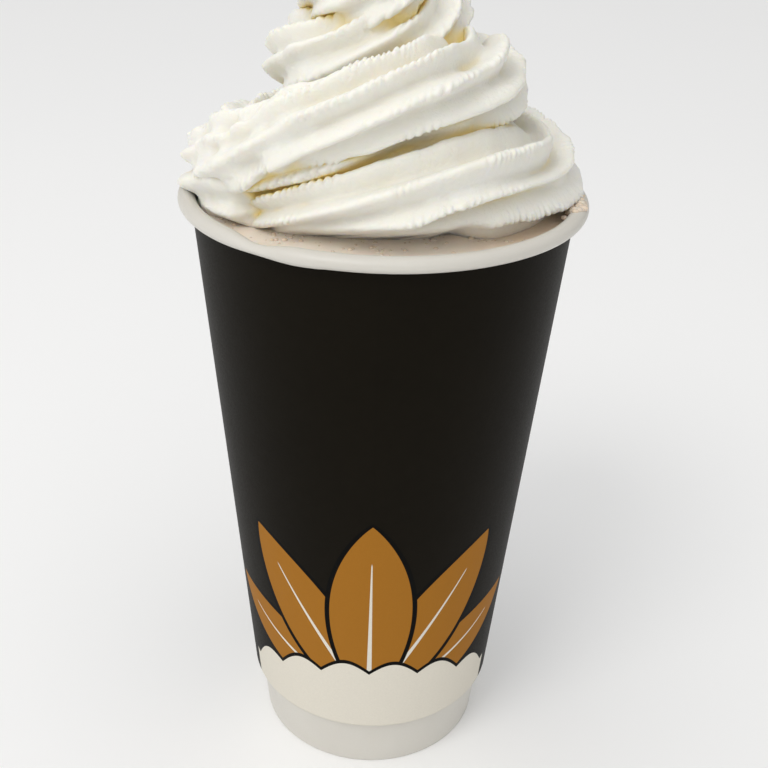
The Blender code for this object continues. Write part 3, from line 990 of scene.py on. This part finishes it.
def whippedCream():
    material, tree, shader, place = newMaterial("whippedCream")
    axes = addNode(tree, "ShaderNodeSeparateXYZ", {0: place}).outputs
    hollow = addNode(tree, "ShaderNodeAttribute", attribute_name="hollow").outputs["Fac"]
    soft = noiseAt(tree, place, 6 * mm, 3.0)
    grain = noiseAt(tree, place, 0.55 * mm, 4.0, 0.65)
    cells = addNode(tree, "ShaderNodeTexVoronoi", {"Vector": place, "Scale": 1 / (1.1 * mm)})
    pits = mapRange(tree, cells.outputs["Distance"], 0.10, 0.34)
    colour = mixColour(tree, soft, (0.830, 0.815, 0.745, 1), (0.860, 0.852, 0.800, 1))
    # painted shade: the cream darkens to a warm grey where it is closed in, and deeper in the folds a painted
    # yellow glow stands in for light bouncing and shining through the cream
    shade = mapRange(tree, hollow, 0.15, 0.45, 0.0, 0.35)
    colour = mixColour(tree, shade, colour, (0.72, 0.66, 0.51, 1))
    paintedCreaseGlow = mapRange(tree, hollow, 0.36, 0.66, 0.0, 0.9)
    colour = mixColour(tree, paintedCreaseGlow, colour, (0.98, 0.79, 0.32, 1))
    height = minus(tree, plus(tree, axes[2], times(tree, soft, 3 * mm)), drinkHigh.z)
    melt = mapRange(tree, height, 4.2 * mm, 1.2 * mm)
    colour = mixColour(tree, times(tree, melt, 0.6), colour, (0.80, 0.70, 0.58, 1))
    rough = mapRange(tree, grain, 0.3, 0.7, 0.42, 0.60)
    strokes = noiseAt(tree, place, 1.7 * mm, 3.0, 0.6, 0.8)
    bump = bumpFrom(tree, grain, 0.14 * mm, 0.55)
    bump = bumpFrom(tree, strokes, 0.45 * mm, 0.55, bump)
    bump = bumpFrom(tree, pits, 0.10 * mm, 0.30, bump)
    setShader(tree, shader, colour=colour, roughness=rough, bump=bump, scatter=0.6,
              scatterRadius=(1.0, 0.82, 0.50), scatterScale=1.3 * mm, specular=0.3)
    return material


def makeCream():
    print("cream: piping")
    material = whippedCream()
    tree = pipedRopeTree()
    parts = [makePeak(tree, material)]
    for rope in (mainRope, firstRope, fillRope):
        parts += ropeLengths(rope, tree, material)
    print("cream: joining", len(parts), "lengths")
    swirl = joinCream(parts, material)
    print("cream: hollows")
    measureHollows(swirl, cream["hollowReach"], cream["hollowRays"])
    finishPiece(swirl, "cream")


# Froth: small bubbles on the drink in front of the cream, and a smear of them over the rim at the right

froth = {
    "flatness": 0.62,
    "bubbles": 150,
    "headings": (205.0, 335.0),
    "sizes": (0.15 * mm, 0.62 * mm),
    "smear": 70,
    "smearHeadings": (-19.0, -3.0),
    "smearReach": (40.4 * mm, 44.2 * mm),
    "smearSizes": (0.4 * mm, 1.05 * mm),
    "seed": 5,
}


def frothTree():
    tree = bpy.data.node_groups.new("frothBubbles", "GeometryNodeTree")
    tree.interface.new_socket(name="Places", in_out="INPUT", socket_type="NodeSocketGeometry")
    tree.interface.new_socket(name="Flatness", in_out="INPUT", socket_type="NodeSocketFloat")
    tree.interface.new_socket(name="Finish", in_out="INPUT", socket_type="NodeSocketMaterial")
    tree.interface.new_socket(name="Bubbles", in_out="OUTPUT", socket_type="NodeSocketGeometry")
    given = tree.nodes.new("NodeGroupInput").outputs
    points = addNode(tree, "GeometryNodeMeshToPoints", {"Mesh": given["Places"]}).outputs[0]
    ball = addNode(tree, "GeometryNodeMeshIcoSphere", {"Radius": 1.0, "Subdivisions": 3}).outputs[0]
    size = namedValue(tree, "size")
    flat = times(tree, size, given["Flatness"])
    scale = addNode(tree, "ShaderNodeCombineXYZ", {0: size, 1: size, 2: flat}).outputs[0]
    made = addNode(tree, "GeometryNodeInstanceOnPoints",
                   {"Points": points, "Instance": ball, "Scale": scale}).outputs[0]
    made = addNode(tree, "GeometryNodeRealizeInstances", {"Geometry": made}).outputs[0]
    made = addNode(tree, "GeometryNodeSetShadeSmooth", {"Geometry": made}).outputs[0]
    made = addNode(tree, "GeometryNodeSetMaterial",
                   {"Geometry": made, "Material": given["Finish"]}).outputs[0]
    out = tree.nodes.new("NodeGroupOutput")
    tree.links.new(made, out.inputs["Bubbles"])
    return tree


def rimTop(reach):
    share = (reach - (rimRadius - cup["rimWidth"] / 2)) / (cup["rimWidth"] / 2)
    return cupHeight - cup["rimDepth"] / 2 * (1 - math.sqrt(max(1 - share * share, 0.0)))


def frothPlaces():
    chance = np.random.default_rng(froth["seed"])
    level = drinkHigh.z
    wall = wallInner(level)
    places, sizes = [], []
    for _ in range(froth["bubbles"]):
        heading = chance.uniform(*froth["headings"])
        foot = smoothValue(footRadius, heading) * mm + 0.6 * mm
        reach = foot + max(wall - 1 * mm - foot, 0) * chance.uniform(0, 1) ** 1.6
        heading = math.radians(heading)
        sizes.append(froth["sizes"][0] + (froth["sizes"][1] - froth["sizes"][0]) * chance.uniform(0, 1) ** 3)
        lift = drink["meniscus"] * math.exp(-(wall - reach) / drink["meniscusReach"])
        places.append((reach * math.cos(heading), reach * math.sin(heading), level + lift))
    for _ in range(froth["smear"]):
        heading = math.radians(chance.uniform(*froth["smearHeadings"]))
        reach = chance.uniform(*froth["smearReach"])
        height = rimTop(reach) if reach > rimRadius - cup["rimWidth"] else cupHeight - cup["rimDepth"] / 2
        sizes.append(chance.uniform(*froth["smearSizes"]))
        places.append((reach * math.cos(heading), reach * math.sin(heading), height))
    mesh = bpy.data.meshes.new("frothPlaces")
    mesh.from_pydata(places, [], [])
    mesh.attributes.new("size", "FLOAT", "POINT").data.foreach_set("value", np.array(sizes, dtype=np.float32))
    return addObject("frothPlaces", mesh)


def makeFroth():
    print("froth")
    holder = frothPlaces()
    modifier = holder.modifiers.new("bubbles", "NODES")
    modifier.node_group = frothTree()
    setInputs(modifier, Flatness=froth["flatness"], Finish=frothFilm())
    made = addObject("froth", evaluatedMesh(holder))
    bpy.data.objects.remove(holder, do_unlink=True)
    finishPiece(made, None)


def frothFilm():
    material, tree, shader, place = newMaterial("frothFilm")
    cloudy = noiseAt(tree, place, 2.5 * mm, 2.0)
    fine = noiseAt(tree, place, 0.3 * mm, 3.0)
    colour = mixColour(tree, cloudy, (0.66, 0.52, 0.39, 1), (0.82, 0.71, 0.59, 1))
    bump = bumpFrom(tree, fine, 0.03 * mm, 0.4)
    setShader(tree, shader, colour=colour, roughness=0.22, bump=bump, scatter=0.3,
              scatterRadius=(1.0, 0.7, 0.5), scatterScale=0.6 * mm)
    return material


# Sky, floor, light and camera

studio = {
    "skyBright": 1.04,
    "skyDim": 0.16,
    "skyHeading": (-0.22, -0.36, 0.90),
    "floorHalf": 6.0,
    "floorColour": (0.94, 0.94, 0.935, 1),
    "keyPlace": (-0.50, -0.70, 1.10),
    "keyTarget": (0, 0, 0.12),
    "keySize": 0.6,
    "keyPower": 4.5,
    "keyColour": (1.0, 0.985, 0.96),
}
view = {
    "lens": 51.173,
    "distance": 264.367 * mm,
    "elevation": 28.079,
    "roll": 1.832,
    "target": (1.386 * mm, 0.0, 96.206 * mm),
}


def makeSky():
    world = bpy.data.worlds.new("studioSky")
    world.use_nodes = True
    tree = world.node_tree
    heading = addNode(tree, "ShaderNodeTexCoord").outputs["Generated"]
    towards = addNode(tree, "ShaderNodeVectorMath", {0: heading, 1: studio["skyHeading"]},
                      operation="DOT_PRODUCT").outputs["Value"]
    strength = mapRange(tree, towards, -0.35, 0.95, studio["skyDim"], studio["skyBright"])
    tint = mixColour(tree, mapRange(tree, towards, 0.4, -0.5), (1.0, 1.0, 1.0, 1), (1.0, 0.95, 0.88, 1))
    tree.links.new(tint, tree.nodes["Background"].inputs["Color"])
    tree.links.new(strength, tree.nodes["Background"].inputs["Strength"])
    bpy.context.scene.world = world


def makeFloor():
    half = studio["floorHalf"]
    corners = [(-half, -half, 0), (half, -half, 0), (half, half, 0), (-half, half, 0)]
    mesh = bpy.data.meshes.new("floor")
    mesh.from_pydata(corners, [], [(0, 1, 2, 3)])
    mesh.materials.append(paleFloor())
    addObject("floor", mesh)


def paleFloor():
    material, tree, shader, place = newMaterial("paleFloor")
    cloudy = noiseAt(tree, place, 0.4, 2.0)
    colour = mixColour(tree, cloudy, (0.92, 0.92, 0.92, 1), studio["floorColour"])
    setShader(tree, shader, colour=colour, roughness=0.7, bump=bumpFrom(tree, cloudy, 1 * mm, 0.1))
    return material


def makeKeyLight():
    data = bpy.data.lights.new("keyLight", "AREA")
    data.shape = "DISK"
    data.size = studio["keySize"]
    data.energy = studio["keyPower"]
    data.color = studio["keyColour"]
    light = addObject("keyLight", data)
    light.location = studio["keyPlace"]
    towards = Vector(studio["keyTarget"]) - Vector(studio["keyPlace"])
    light.rotation_euler = towards.to_track_quat("-Z", "Y").to_euler()


def makeStudio():
    print("studio")
    bpy.context.scene.view_settings.view_transform = "Standard"
    makeSky()
    makeFloor()
    makeKeyLight()


def makeCamera():
    tilt, roll = math.radians(view["elevation"]), math.radians(view["roll"])
    back = Vector((0, -math.cos(tilt), math.sin(tilt)))
    right = Vector((1, 0, 0))
    up = Vector((0, math.sin(tilt), math.cos(tilt)))
    rolledRight = right * math.cos(roll) + up * math.sin(roll)
    rolledUp = up * math.cos(roll) - right * math.sin(roll)
    data = bpy.data.cameras.new("camera")
    data.lens = view["lens"]
    data.clip_start = 0.01
    turned = Matrix((rolledRight, rolledUp, back)).transposed().to_4x4()
    camera = addObject("camera", data)
    camera.matrix_world = Matrix.Translation(Vector(view["target"]) + back * view["distance"]) @ turned
    bpy.context.scene.camera = camera


makeCupWall()
frame["nodes"]["cup_bottom"].data.materials.clear()
frame["nodes"]["cup_bottom"].data.materials.append(whiteBoard())
makeSleeve()
makeDrink()
makeCream()
makeFroth()
makeStudio()
makeCamera()
